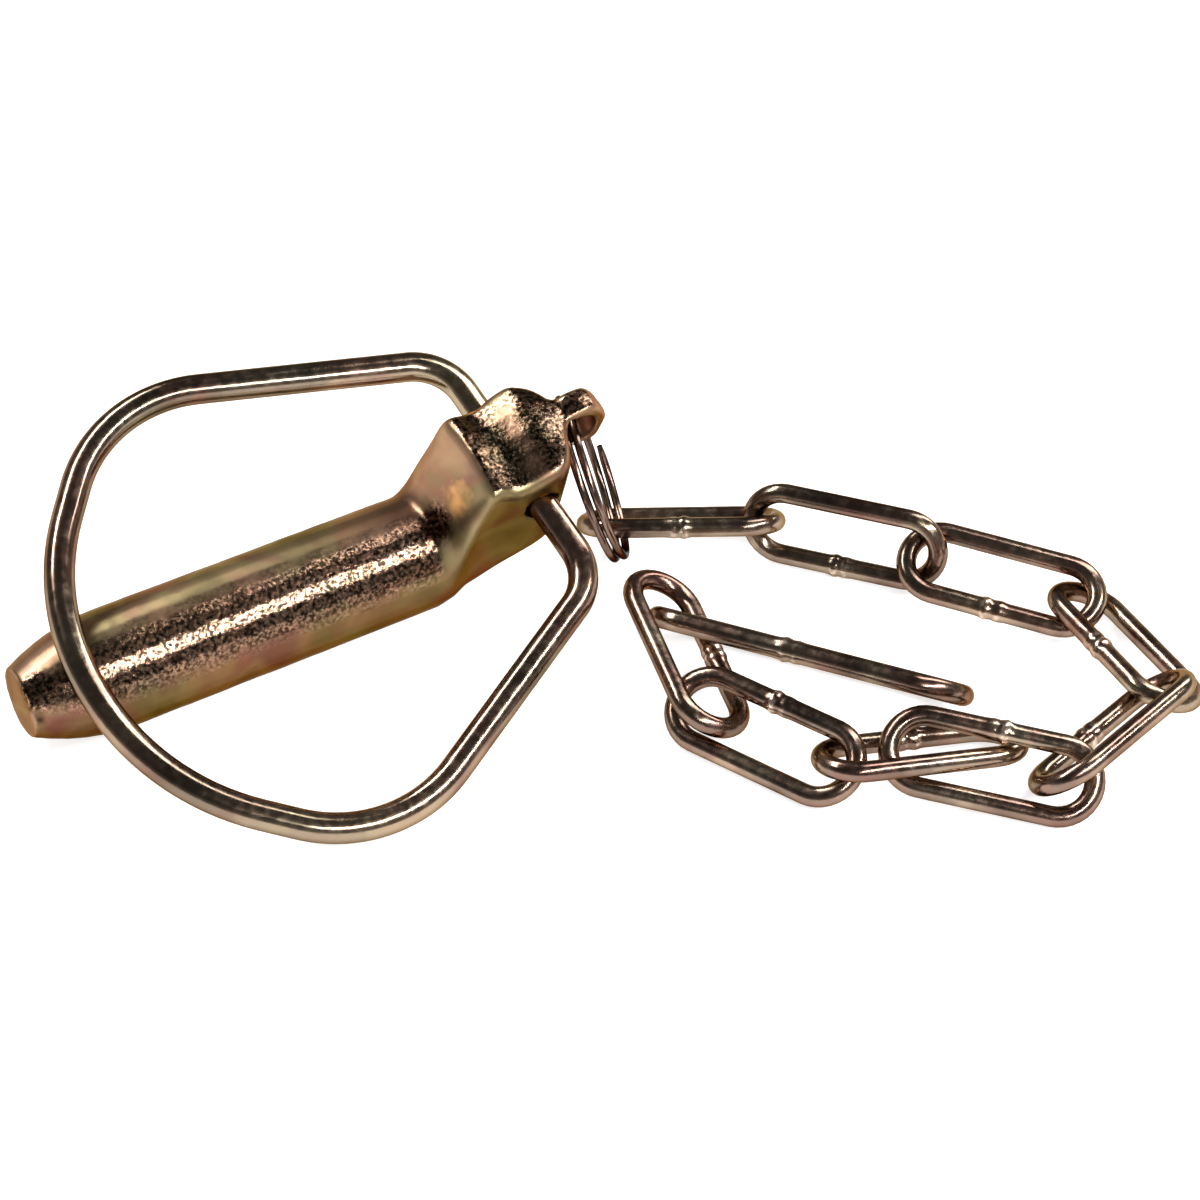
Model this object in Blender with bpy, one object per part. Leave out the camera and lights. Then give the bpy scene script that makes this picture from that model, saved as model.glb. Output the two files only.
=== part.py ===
"""Forged lock pin with a spring wire clip, a split ring, a welded chain and an end link.

Metres, +Z up. The origin is the centre of the shank's tip face and X runs along the
shank. The pin lies on its shank, rolled toward -Y until the clip touches the ground.
"""
import math

import bmesh
import bpy
import numpy as np
from mathutils import Matrix, Vector

# Shank
SHANK_DIAMETER = 0.016
TIP_FACE_DIAMETER = 0.0094
TIP_TAPER_LENGTH = 0.013
SHANK_LENGTH = 0.0575

# Head, measured from the shank's axis in the pin's own frame
PIN_ROLL = math.radians(19)
HEAD_WIDTH = 0.0142
HEAD_REAR_WIDTH = 0.0156
HEAD_LENGTH = 0.018
FLANK_RUN = 0.0052
HEAD_TOP = 0.0189
HEAD_REAR_TOP = 0.0203
HEAD_CROWN = 0.0015
HEAD_EDGE_RADIUS = 0.0012
HEAD_KEEL_RADIUS = 0.0042
EAR_LENGTH = 0.008
EAR_WIDTH = 0.0044
EAR_TOP = 0.0217
EAR_BOTTOM = 0.0138
EAR_OFFSET = 0.001

# Clip, a planar wire loop whose two feet turn in one slanting bore
CLIP_WIRE = 0.004
CLIP_LENGTH = 0.0637
CLIP_FOOT_SPREAD = 0.018
CLIP_SHOULDER_REACH = 0.0421
CLIP_SHOULDER_SPREAD = 0.0356
CLIP_NOSE_SPREAD = 0.0138
CLIP_FOOT_RADIUS = 0.0075
CLIP_SHOULDER_RADIUS = 0.019
CLIP_NOSE_RADIUS = 0.0325
CLIP_FOOT_DEPTH = 0.0045
CLIP_ROLL = math.radians(27.3)
CLIP_SKEW = math.radians(6.5)
BORE_CLEARANCE = 0.0006
BORE_FROM_FLANK = 0.0071
BORE_HEIGHT = 0.0145
BORE_OFFSET = -0.0017

# Split ring
RING_DIAMETER = 0.0228
RING_WIRE = 0.0011
RING_TURN_GAP = 0.0002
RING_HEADING = math.radians(-24)
RING_LEAN = math.radians(17)
RING_SWING = math.radians(6)
EAR_HOLE_DIAMETER = 0.006
EAR_HOLE_BACK = 0.005
EAR_HOLE_HEIGHT = 0.0177
RING_SAG = 0.0004

# Chain
LINK_WIRE = 0.0027
LINK_LENGTH = 0.0288
LINK_WIDTH = 0.0119
WELD_SWELL = 0.2
END_LINK_WIRE = 0.0029
END_LINK_LENGTH = 0.045
END_LINK_NEAR_WIDTH = 0.0115
END_LINK_FAR_WIDTH = 0.0145
CHAIN_COLOR = (0.36, 0.28, 0.21)
CHAIN_ROUGHNESS = 0.32

# What touches keeps this much air
SEAT_GAP = 0.0003

# How each chain piece lies, from the ring on: its middle along X from the ear's hole and
# along Y, heading from +X, climb, lean to its left side, and lift off the ground. Lengths
# are in link lengths and angles in degrees.
POSES = (
    (0.521, -0.365, -35, 4, -30, 0.035),
    (1.111, -0.92, -50, 0, 77, 0.014),
    (1.58, -1.528, -50, -4, 26, 0.017),
    (1.788, -2.153, -96, 3, -22, 0),
    (1.319, -2.604, -166, -2, 42, 0.017),
    (0.764, -2.465, 135, 4, -39, 0),
    (0.573, -2.205, 164, 6, 22, 0),
    (0.035, -1.771, 114, 0, -32, 0),
    (0, -1.181, 78, 9, 27, 0.017),
    (0.486, -1.458, -55, 2, -43, 0),
)

# Links whose joint runs along their own bend, the others' along the bend they hang on
OWN_BEND_LINKS = ("chain_link_6", "chain_link_7")

SHANK_RADIUS = SHANK_DIAMETER / 2
GROUND = -SHANK_RADIUS
HEAD_START = SHANK_LENGTH
HEAD_EDGE_X = HEAD_START + FLANK_RUN
REAR_X = HEAD_START + HEAD_LENGTH * 0.86
EAR_START = HEAD_START + HEAD_LENGTH
EAR_END = EAR_START + EAR_LENGTH
ARC_STEPS = 8


def clear_scene():
    """Remove every object that the file holds."""
    for old in list(bpy.data.objects):
        bpy.data.objects.remove(old, do_unlink=True)


def new_collection(name):
    """Make a collection under the scene."""
    group = bpy.data.collections.new(name)
    bpy.context.scene.collection.children.link(group)
    return group


def steel(name, color, roughness, metallic=1.0):
    """Make a plated steel material."""
    material = bpy.data.materials.new(name)
    material.use_nodes = True
    shader = material.node_tree.nodes["Principled BSDF"]
    shader.inputs["Base Color"].default_value = (*color, 1)
    shader.inputs["Metallic"].default_value = metallic
    shader.inputs["Roughness"].default_value = roughness
    material.diffuse_color = (*color, 1)
    return material


def add_object(name, data, material, group):
    """Put a mesh or a curve in the scene under its own material."""
    thing = bpy.data.objects.new(name, data)
    if not data.materials:
        data.materials.append(material)
    group.objects.link(thing)
    return thing


def ease(x, knots, values):
    """Read a smooth curve through knots that never overshoots them."""
    knots, values = np.array(knots, float), np.array(values, float)
    slopes = np.diff(values) / np.diff(knots)
    tangents = np.zeros(len(knots))
    same = slopes[:-1] * slopes[1:] > 0
    tangents[1:-1][same] = 2 * slopes[:-1][same] * slopes[1:][same] / (slopes[:-1] + slopes[1:])[same]
    i = int(np.clip(np.searchsorted(knots, x) - 1, 0, len(slopes) - 1))
    step = knots[i + 1] - knots[i]
    t = (x - knots[i]) / step
    return float(
        values[i] * (1 + 2 * t) * (1 - t) ** 2
        + tangents[i] * step * t * (1 - t) ** 2
        + values[i + 1] * t * t * (3 - 2 * t)
        + tangents[i + 1] * step * t * t * (t - 1)
    )


def section(x, low, top, half, keel, edge, crown, shift):
    """One closed cross-section of the forging: a rounded box with a crowned top."""
    keel = min(keel, half, (top - low) / 2)
    edge = min(edge, half, (top - low) / 2)
    corners = (
        (half - edge, top - edge, edge, 0),
        (-half + edge, top - edge, edge, 90),
        (-half + keel, low + keel, keel, 180),
        (half - keel, low + keel, keel, 270),
    )
    ring = []
    for y, z, radius, start in corners:
        for step in range(ARC_STEPS + 1):
            angle = math.radians(start + 90 * step / ARC_STEPS)
            ring.append((y + radius * math.cos(angle), z + radius * math.sin(angle)))
    top_end = ARC_STEPS + 1
    flat = [
        (ring[top_end - 1][0] + (ring[top_end][0] - ring[top_end - 1][0]) * t, top)
        for t in (0.25, 0.5, 0.75)
    ]
    ring[top_end:top_end] = flat
    points = []
    for y, z in ring:
        rise = crown * (1 - (y / half) ** 2) if z > (low + top) / 2 else 0
        points.append(Vector((x, y + shift, z + rise)))
    return points


def tip_radius(x):
    """Radius of the shank, which draws in toward its tip face in a parabola."""
    lead = max(0.0, 1 - x / TIP_TAPER_LENGTH)
    return SHANK_RADIUS - (SHANK_RADIUS - TIP_FACE_DIAMETER / 2) * lead**2


def forging_sections():
    """Cross-sections from the tip face, along the shank, over the head and out to the ear."""
    rings = []
    for step in range(7):
        x = TIP_TAPER_LENGTH * step / 6
        r = tip_radius(x)
        rings.append(section(x, -r, r, r, r, r, 0, 0))
    u = SHANK_RADIUS / 8
    r, half, rear = SHANK_RADIUS, HEAD_WIDTH / 2, HEAD_REAR_WIDTH / 2
    x0, x1, x2, x3, x4 = HEAD_START, HEAD_EDGE_X, REAR_X, EAR_START, EAR_END
    head_low = (-5.6 * u, -4.4 * u, -2.6 * u, 3.3 * u)
    low = (
        (x0 - 0.5 * u, -r),
        (x0 + 2 * u, -r + 1.3 * u),
        (x0 + 4 * u, head_low[1]),
        (x0 + 7.5 * u, head_low[2] + 1 * u),
        (x2, head_low[3]),
        (x3 - 0.8 * u, EAR_BOTTOM - 7.5 * u),
        (x3 + 1.2 * u, EAR_BOTTOM - 0.6 * u),
        (x3 + 3 * u, EAR_BOTTOM),
        (x4 - 1.6 * u, EAR_BOTTOM + 0.4 * u),
        (x4, EAR_BOTTOM + 3 * u),
    )
    top = (
        (x0 - 0.5 * u, r),
        (x0 + 0.8 * u, r + 1 * u),
        (x1 - 0.8 * u, HEAD_TOP - 1.8 * u),
        (x1, HEAD_TOP - 0.2 * u),
        (x1 + 0.8 * u, HEAD_TOP),
        (x1 + 3.6 * u, HEAD_TOP - 0.9 * u),
        (x2 - 0.5 * u, HEAD_REAR_TOP),
        (x3 + 0.5 * u, HEAD_REAR_TOP + 0.2 * u),
        (x3 + 2.5 * u, EAR_TOP - 0.4 * u),
        (x4 - 3.2 * u, EAR_TOP - 0.1 * u),
        (x4 - 1.4 * u, EAR_TOP - 1.4 * u),
        (x4, EAR_TOP - 3.8 * u),
    )
    width = (
        (x0 - 0.5 * u, r),
        (x0 + 2 * u, (r + half) / 2),
        (x1 - 1 * u, half),
        (x2 - 1 * u, rear),
        (x3 - 1.2 * u, rear * 0.86),
        (x3, rear * 0.62),
        (x3 + 0.9 * u, EAR_WIDTH * 0.64),
        (x3 + 1.8 * u, EAR_WIDTH / 2),
        (x4 - 2 * u, EAR_WIDTH / 2),
        (x4 - 0.7 * u, EAR_WIDTH * 0.42),
        (x4, EAR_WIDTH * 0.3),
    )
    keel = (
        (x0 - 0.5 * u, r),
        (x0 + 3.5 * u, HEAD_KEEL_RADIUS * 1.25),
        (x1 + 1 * u, HEAD_KEEL_RADIUS),
        (x2, HEAD_KEEL_RADIUS),
        (x3 + 1 * u, 2 * u),
        (x3 + 2 * u, 1 * u),
        (x4, 1 * u),
    )
    edge = (
        (x0 - 0.5 * u, r),
        (x0 + 0.8 * u, r * 0.9),
        (x0 + 2.8 * u, 3.6 * u),
        (x1, HEAD_EDGE_RADIUS),
        (x2 - 1 * u, HEAD_EDGE_RADIUS),
        (x3, HEAD_EDGE_RADIUS * 1.8),
        (x3 + 2 * u, 0.9 * u),
        (x4, 1.2 * u),
    )
    crown = ((x0, 0), (x1, HEAD_CROWN), (x2, HEAD_CROWN), (x3 + 2 * u, 0.3 * u), (x4, 0.3 * u))
    shift = ((x0, 0), (x2, 0), (x3 + 1.5 * u, EAR_OFFSET), (x4, EAR_OFFSET))
    columns = [tuple(zip(*rows)) for rows in (low, top, width, keel, edge, crown, shift)]
    count = 46
    for step in range(count + 1):
        x = x0 - 0.5 * u + (x4 - x0 + 0.5 * u) * step / count
        rings.append(section(x, *(ease(x, *column) for column in columns)))
    return rings


def loft(rings):
    """Join equal rings of points into one closed mesh with flat ends."""
    mesh = bmesh.new()
    rows = [[mesh.verts.new(point) for point in ring] for ring in rings]
    count = len(rows[0])
    for a, b in zip(rows, rows[1:]):
        for i in range(count):
            j = (i + 1) % count
            mesh.faces.new((a[i], a[j], b[j], b[i]))
    mesh.faces.new(list(reversed(rows[0])))
    mesh.faces.new(rows[-1])
    bmesh.ops.remove_doubles(mesh, verts=mesh.verts, dist=1e-6)
    bmesh.ops.recalc_face_normals(mesh, faces=mesh.faces)
    data = bpy.data.meshes.new("forging")
    mesh.to_mesh(data)
    mesh.free()
    data.shade_smooth()
    data.set_sharp_from_angle(angle=math.radians(35))
    return data


def drill(target, centre, axis, diameter, length, group):
    """Cut a round hole through a piece."""
    mesh = bmesh.new()
    bmesh.ops.create_cone(
        mesh, cap_ends=True, segments=32, radius1=diameter / 2, radius2=diameter / 2, depth=length
    )
    data = bpy.data.meshes.new("drill")
    mesh.to_mesh(data)
    mesh.free()
    cutter = bpy.data.objects.new("drill_" + target.name, data)
    group.objects.link(cutter)
    turn = Vector(axis).to_track_quat("Z", "Y").to_matrix().to_4x4()
    cutter.matrix_world = Matrix.Translation(centre) @ turn
    cutter.hide_render = True
    cutter.display_type = "WIRE"
    cut = target.modifiers.new("hole", "BOOLEAN")
    cut.operation = "DIFFERENCE"
    cut.solver = "EXACT"
    cut.object = cutter
    return cutter


def pin_frame():
    """Turn from the pin's own frame to the world."""
    return Matrix.Rotation(PIN_ROLL, 4, "X")


def bore_centre():
    """Middle of the bore that holds the clip's feet, in the world."""
    return pin_frame() @ Vector((HEAD_EDGE_X + BORE_FROM_FLANK, BORE_OFFSET, BORE_HEIGHT))


def clip_matrix():
    """Clip's own frame: origin on the bore's middle, X toward the nose, Y along the bore."""
    centre = bore_centre()
    across = Vector((0, math.cos(CLIP_ROLL), math.sin(CLIP_ROLL)))
    up = Vector((0, -math.sin(CLIP_ROLL), math.cos(CLIP_ROLL)))
    hinge_height = centre.dot(up)
    nose_x = centre.x - CLIP_LENGTH
    rest_height = tip_radius(max(nose_x, 0) + CLIP_WIRE * 0.7) + CLIP_WIRE / 2 + SEAT_GAP
    tilt = math.asin((rest_height - hinge_height) / CLIP_LENGTH)
    along = -(math.cos(tilt) * Vector((1, 0, 0))) + math.sin(tilt) * up
    toward = math.cos(CLIP_SKEW) * along - math.sin(CLIP_SKEW) * across
    hinge = -math.sin(CLIP_SKEW) * along - math.cos(CLIP_SKEW) * across
    normal = toward.cross(hinge)
    turn = Matrix((toward, hinge, normal)).transposed().to_4x4()
    return Matrix.Translation(centre) @ turn


def fillet_path(corners, radii):
    """Round the corners of an open path with arcs."""
    points = [Vector(corners[0])]
    for i, radius in zip(range(1, len(corners) - 1), radii):
        here = Vector(corners[i])
        back = (Vector(corners[i - 1]) - here).normalized()
        ahead = (Vector(corners[i + 1]) - here).normalized()
        half = math.acos(max(-1, min(1, back.dot(ahead)))) / 2
        setback = radius / math.tan(half)
        centre = here + (back + ahead).normalized() * (radius / math.sin(half))
        start = here + back * setback - centre
        end = here + ahead * setback - centre
        sweep = start.angle(end)
        steps = max(3, round(math.degrees(sweep) / 9))
        for step in range(steps + 1):
            t = step / steps
            arm = (start * math.sin((1 - t) * sweep) + end * math.sin(t * sweep)) / math.sin(sweep)
            points.append(centre + arm)
    points.append(Vector(corners[-1]))
    return points


def wire_data(name, points, diameter, sides, cyclic=False, swell=None):
    """Make a round wire along points."""
    curve = bpy.data.curves.new(name, "CURVE")
    curve.dimensions = "3D"
    curve.bevel_depth = diameter / 2
    curve.bevel_resolution = sides // 2 - 2
    curve.use_fill_caps = not cyclic
    spline = curve.splines.new("POLY")
    spline.points.add(len(points) - 1)
    for i, point in enumerate(points):
        spline.points[i].co = (*point, 1)
        spline.points[i].radius = swell[i] if swell else 1
    spline.use_cyclic_u = cyclic
    spline.use_smooth = True
    return curve


def clip_path():
    """Half of the loop from one foot round the nose to the other."""
    half_head = HEAD_WIDTH / 2
    foot = half_head - CLIP_FOOT_DEPTH
    side = [
        (0, foot, 0),
        (0, CLIP_FOOT_SPREAD, 0),
        (CLIP_SHOULDER_REACH, CLIP_SHOULDER_SPREAD, 0),
        (CLIP_LENGTH, CLIP_NOSE_SPREAD, 0),
    ]
    other = [(x, -y, z) for x, y, z in reversed(side)]
    radii = [CLIP_FOOT_RADIUS, CLIP_SHOULDER_RADIUS, CLIP_NOSE_RADIUS]
    return fillet_path(side + other, radii + list(reversed(radii)))


def ring_matrix():
    """Split ring's own frame: origin on the ear hole's middle, Z along the ring's axis."""
    hole = pin_frame() @ Vector((EAR_END - EAR_HOLE_BACK, EAR_OFFSET, EAR_HOLE_HEIGHT - RING_SAG))
    axis = Vector(
        (
            math.cos(RING_LEAN) * math.cos(RING_HEADING),
            math.cos(RING_LEAN) * math.sin(RING_HEADING),
            math.sin(RING_LEAN),
        )
    )
    plumb = Vector((0, 0, -1))
    down = (plumb - axis * plumb.dot(axis)).normalized()
    down = Matrix.Rotation(RING_SWING, 3, axis) @ down
    side = axis.cross(down)
    turn = Matrix((down, side, axis)).transposed().to_4x4()
    return Matrix.Translation(hole) @ turn


def split_ring_path():
    """Two turns of wire side by side, hung from the frame's origin."""
    radius = RING_DIAMETER / 2
    pitch = RING_WIRE + RING_TURN_GAP
    turns, steps = 2, 36
    points = []
    for i in range(turns * steps + 1):
        angle = math.tau * (i + 0.5) / steps + math.radians(60)
        rise = pitch * (i / steps - turns / 2)
        points.append(
            Vector((radius + radius * math.cos(angle), radius * math.sin(angle), rise))
        )
    return points


def link_path(length, near_width, far_width, wire):
    """Centre line of a link: two round ends joined by straight sides, near end at the origin."""
    near, far = (near_width - wire) / 2, (far_width - wire) / 2
    run = length - wire - near - far
    lean = math.asin((far - near) / run)
    points = []
    for step in range(ARC_STEPS + 1):
        angle = math.pi / 2 + lean + (math.pi - 2 * lean) * step / ARC_STEPS
        points.append(Vector((near + near * math.cos(angle), near * math.sin(angle), 0)))
    for t in (0.25, 0.46, 0.5, 0.54, 0.75):
        start = points[ARC_STEPS]
        end_angle = -math.pi / 2 - lean
        end = Vector((near + run + far * math.cos(end_angle), far * math.sin(end_angle), 0))
        points.append(start.lerp(end, t))
    for step in range(ARC_STEPS + 1):
        angle = -math.pi / 2 - lean + (math.pi + 2 * lean) * step / ARC_STEPS
        points.append(Vector((near + run + far * math.cos(angle), far * math.sin(angle), 0)))
    start, end = points[-1], points[0]
    points += [start.lerp(end, t) for t in (0.25, 0.5, 0.75)]
    return points


def weld_swell(count):
    """Radius factors that raise a small bead in the middle of one side."""
    factors = [1.0] * count
    middle = ARC_STEPS + 3
    factors[middle] = 1 + WELD_SWELL
    factors[middle - 1] = factors[middle + 1] = 1 + WELD_SWELL * 0.8
    return factors


def pose_turn(heading, climb, lean):
    """Rotation of a link that points along X and lies flat: lean, then climb, then heading."""
    return (
        Matrix.Rotation(math.radians(heading), 3, "Z")
        @ Matrix.Rotation(math.radians(-climb), 3, "Y")
        @ Matrix.Rotation(math.radians(lean), 3, "X")
    )


def even_points(points, count=160):
    """Even samples along a closed path."""
    loop = np.array([tuple(p) for p in points] + [tuple(points[0])])
    steps = np.linalg.norm(np.diff(loop, axis=0), axis=1)
    travel = np.concatenate(([0], np.cumsum(steps)))
    at = np.linspace(0, travel[-1], count, endpoint=False)
    return np.stack([np.interp(at, travel, loop[:, k]) for k in range(3)], axis=1)


def push_clear(points, laid):
    """Shift that takes a wire clear of every wire already laid, by the shortest way."""
    shift = np.zeros(3)
    for _ in range(200):
        worst, move = 1e-6, None
        for other, room in laid:
            apart = (points + shift)[:, None, :] - other[None, :, :]
            distance = np.sqrt((apart**2).sum(axis=2))
            spot = np.unravel_index(distance.argmin(), distance.shape)
            short = room - distance[spot]
            if short > worst:
                worst, move = short, apart[spot] / distance[spot] * short
        if move is None:
            break
        shift += move
    return shift


def lay(path, pose, wire, laid):
    """Place a link: turned, dropped to the ground, then pushed clear of what it threads."""
    x, y, heading, climb, lean, lift = pose
    turn = pose_turn(heading, climb, lean)
    middle = Vector((max(p.x for p in path) / 2, 0, 0))
    centred = [turn @ (p - middle) for p in path]
    low = min(p.z for p in centred) - wire / 2
    middle_x = EAR_END - EAR_HOLE_BACK + x * LINK_LENGTH
    height = GROUND + SEAT_GAP / 3 + lift * LINK_LENGTH - low
    place = Vector((middle_x, y * LINK_LENGTH, height))
    points = even_points([p + place for p in centred])
    rooms = [(other, (wire + size) / 2 + SEAT_GAP) for other, size in laid]
    place += Vector(push_clear(points, rooms))
    laid.append((even_points([p + place for p in centred]), wire))
    return Matrix.Translation(place - turn @ middle) @ turn.to_4x4()


def hinge_point(laid, on_own_bend):
    """Point where the last two wires laid pass closest, on either one."""
    before, last = laid[-2][0], laid[-1][0]
    apart = np.linalg.norm(before[:, None, :] - last[None, :, :], axis=2)
    held, own = np.unravel_index(apart.argmin(), apart.shape)
    return Vector(last[own] if on_own_bend else before[held])


def hang(name, path, pose, wire, color, laid, group):
    """Make one chain piece, lay it down and put its origin on its joint's axis."""
    place = lay(path, pose, wire, laid)
    hinge = place.inverted() @ hinge_point(laid, name in OWN_BEND_LINKS)
    data = wire_data(name, [p - hinge for p in path], wire, 8, True, weld_swell(len(path)))
    piece = add_object(name, data, steel("zinc_" + name, color, CHAIN_ROUGHNESS), group)
    piece.matrix_world = place @ Matrix.Translation(hinge)
    return piece


def build():
    """Make every piece."""
    clear_scene()
    parts = new_collection("lock_pin_with_clip")
    cutters = new_collection("cutters")

    zinc_forging = steel("zinc_forging", (0.46, 0.38, 0.22), 0.38)
    zinc_spring = steel("zinc_spring", (0.30, 0.26, 0.20), 0.26)
    zinc_ring = steel("zinc_ring", (0.34, 0.29, 0.24), 0.3)

    pin = add_object("lock_pin", loft(forging_sections()), zinc_forging, parts)
    pin.matrix_world = pin_frame()
    clip_turn = clip_matrix()
    bore_axis = clip_turn.to_3x3() @ Vector((0, 1, 0))
    bore = CLIP_WIRE + 2 * BORE_CLEARANCE
    drill(pin, bore_centre(), bore_axis, bore, HEAD_REAR_WIDTH * 2, cutters)
    hole = pin_frame() @ Vector((EAR_END - EAR_HOLE_BACK, EAR_OFFSET, EAR_HOLE_HEIGHT))
    ear_axis = pin_frame().to_3x3() @ Vector((0, 1, 0))
    drill(pin, hole, ear_axis, EAR_HOLE_DIAMETER, EAR_WIDTH * 3, cutters)

    clip = add_object("clip", wire_data("clip", clip_path(), CLIP_WIRE, 12), zinc_spring, parts)
    clip.matrix_world = clip_turn

    ring_data = wire_data("split_ring", split_ring_path(), RING_WIRE, 8)
    ring = add_object("split_ring", ring_data, zinc_ring, parts)
    ring.matrix_world = ring_matrix()

    laid = [(np.array([tuple(ring.matrix_world @ p) for p in split_ring_path()]), RING_WIRE)]
    path = link_path(LINK_LENGTH, LINK_WIDTH, LINK_WIDTH, LINK_WIRE)
    for number, pose in enumerate(POSES[:-1], 1):
        hang(f"chain_link_{number}", path, pose, LINK_WIRE, CHAIN_COLOR, laid, parts)

    end_path = link_path(END_LINK_LENGTH, END_LINK_NEAR_WIDTH, END_LINK_FAR_WIDTH, END_LINK_WIRE)
    hang("end_link", end_path, POSES[-1], END_LINK_WIRE, CHAIN_COLOR, laid, parts)
    bpy.context.view_layer.update()


build()
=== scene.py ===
"""Looks of a plated lock pin with a wire clip, a split ring, a welded chain and an end link.

Metres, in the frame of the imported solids. Every piece replaces the solid of the same name
and rides on its body.
"""
import math

import bmesh
import bpy
from mathutils import Matrix, Vector


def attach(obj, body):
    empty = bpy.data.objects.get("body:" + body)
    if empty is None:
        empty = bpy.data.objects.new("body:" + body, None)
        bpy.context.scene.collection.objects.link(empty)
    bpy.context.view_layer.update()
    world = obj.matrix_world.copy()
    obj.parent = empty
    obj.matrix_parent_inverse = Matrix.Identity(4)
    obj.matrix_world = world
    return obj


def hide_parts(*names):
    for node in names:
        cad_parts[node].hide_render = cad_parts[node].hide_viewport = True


bl_info = {
    "name": "Plated Lock Pin",
    "version": (1, 0, 0),
    "blender": (4, 5, 0),
    "location": "3D View > Sidebar > Lock Pin",
    "description": "Builds the visible pieces of a lock pin with clip and chain",
    "category": "Object",
}

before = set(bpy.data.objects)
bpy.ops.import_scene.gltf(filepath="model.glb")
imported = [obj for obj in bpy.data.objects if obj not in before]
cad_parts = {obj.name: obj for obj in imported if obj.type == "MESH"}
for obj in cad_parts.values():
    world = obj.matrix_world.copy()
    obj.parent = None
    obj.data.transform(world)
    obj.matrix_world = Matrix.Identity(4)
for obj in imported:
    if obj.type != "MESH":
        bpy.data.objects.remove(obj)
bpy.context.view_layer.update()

# The ground that everything lies on
GROUND = -0.008

# Clip, in its own frame: X toward the nose, Y along the bore
CLIP_ORIGIN = (0.0698, -0.006328, 0.013157)
CLIP_AXES = (
    (-0.99095, 0.1129, -0.07256),
    (-0.06753, -0.88667, -0.45744),
    (-0.11598, -0.4484, 0.88628),
)
CLIP_WIRE = 0.004
CLIP_CORNERS = ((0, 0.0026), (0, 0.018), (0.0421, 0.0356), (0.0637, 0.0138))
CLIP_RADII = (0.0075, 0.019, 0.0325)
CLIP_SIDES = 40
ARC_STEP = 3  # degrees

# Split ring, in its own frame: Z along its axis
RING_ORIGIN = (0.0785, -0.004687, 0.016683)
RING_AXES = (
    (0.30815, 0.37659, 0.87363),
    (-0.02278, 0.92097, -0.38896),
    (-0.95107, 0.09996, 0.29237),
)
RING_RADIUS = 0.0114
RING_WIRE = 0.0011
RING_PITCH = 0.0013
RING_TURNS = 2
RING_STEPS = 96
RING_START = math.radians(64.875)
RING_SIDES = 20

# Chain: near end in millimetres, heading, climb and lean in degrees
LINK_WIRE = 0.0027
LINK_LENGTH = 0.0288
LINK_WIDTH = 0.0119
LINK_PLACES = (
    (82.609, -2.326, -4.302, -35, 4, -30),
    (101.109, -15.562, -1.842, -50, 0, 77),
    (114.965, -32.635, -2.267, -50, -4, 26),
    (131.104, -48.075, -4.73, -96, 3, -22),
    (129.481, -71.477, -1.799, -166, -2, 42),
    (109.708, -80.197, -3.983, 135, 4, -39),
    (107.478, -67.081, -5.264, 164, 6, 22),
    (85.015, -62.82, -3.847, 114, 0, -32),
    (75.963, -46.52, -4.156, 78, 9, 27),
)
END_WIRE = 0.0029
END_LENGTH = 0.045
END_WIDTHS = (0.0115, 0.0145)
END_PLACE = (80.43, -24.758, -3.665, -55, 2, -43)
LINK_SIDES = 28
BEND_STEPS = 18
WELD_SIDE_STEPS = 40
PLAIN_SIDE_STEPS = 10

# Faces of the forging: the way each looks, and how squarely where its look starts and is full
BAND_FACING = ((0, -0.728, 0.686), 0.78, 0.95)
HEAD_FACING = ((0, -0.326, 0.946), 0.80, 0.92)
# The lower side's facing places painted shade on the satin
LOWER_FACING = ((0, -0.88, -0.47), 0.35, 0.85)

# Where the rough band and the head's rough top start and end along X
BAND_START = (0.0004, 0.003)
BAND_END = (0.0605, 0.0625)
HEAD_START = (0.0612, 0.0628)

# Marks on the forging, among them painted shade, a painted shadow and a painted glint: the middle
# of each, and how far out it is full and where it ends
NICK = (0.0004, -0.0050, 0.0011)
THROAT = (0.0580, -0.0046, 0.0074)
NICK_DENT = (NICK, 0.0006, 0.0016)
# Painted shadow: the dark crescent in the nick's dent
PAINTED_NICK_SHADOW_SPOT = (NICK, 0.0005, 0.0012)
TIP_ROUGH = ((0.0012, -0.0036, 0.0043), 0.0022, 0.0034)
THROAT_ROUGH = (THROAT, 0.0020, 0.0036)
# Painted shade in the hollow of the throat
PAINTED_THROAT_SHADE_SPOT = (THROAT, 0.0010, 0.0042)
# Painted highlight: an orange glint on the flank by the throat
PAINTED_GLINT_SPOT = ((0.0606, -0.0068, 0.0120), 0, 0.0032)
# Painted shade: the middle of the head's top darkened, leaving its edges bright
PAINTED_TOP_SHADE_SPOT = ((0.0684, -0.0072, 0.0192), 0.0030, 0.0062)
NICK_DEPTH = 0.0005

# How much the ragged noise moves the edges of a face's look, and of a mark for its width
FACE_RAGGED = 0.16
MARK_RAGGED = 1.6

# Noise: scale, detail and roughness; and the level at which it leaves the surface in place
RAGGED_NOISE = (380, 3)
PIT_NOISE = (1250, 3, 0.6)
LUMP_NOISE = (190, 2)
PAINTED_MARK_NOISE = (420, 2)
GRAIN_NOISE = (1900, 4, 0.6)
WIRE_NOISE = (900, 3)
NOISE_LEVEL = 0.56

# How the plating reflects where it turns away from the eye
EDGE_TINT = (0.42, 0.34, 0.26, 1)
RING_EDGE_TINT = (0.12, 0.09, 0.07, 1)

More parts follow.
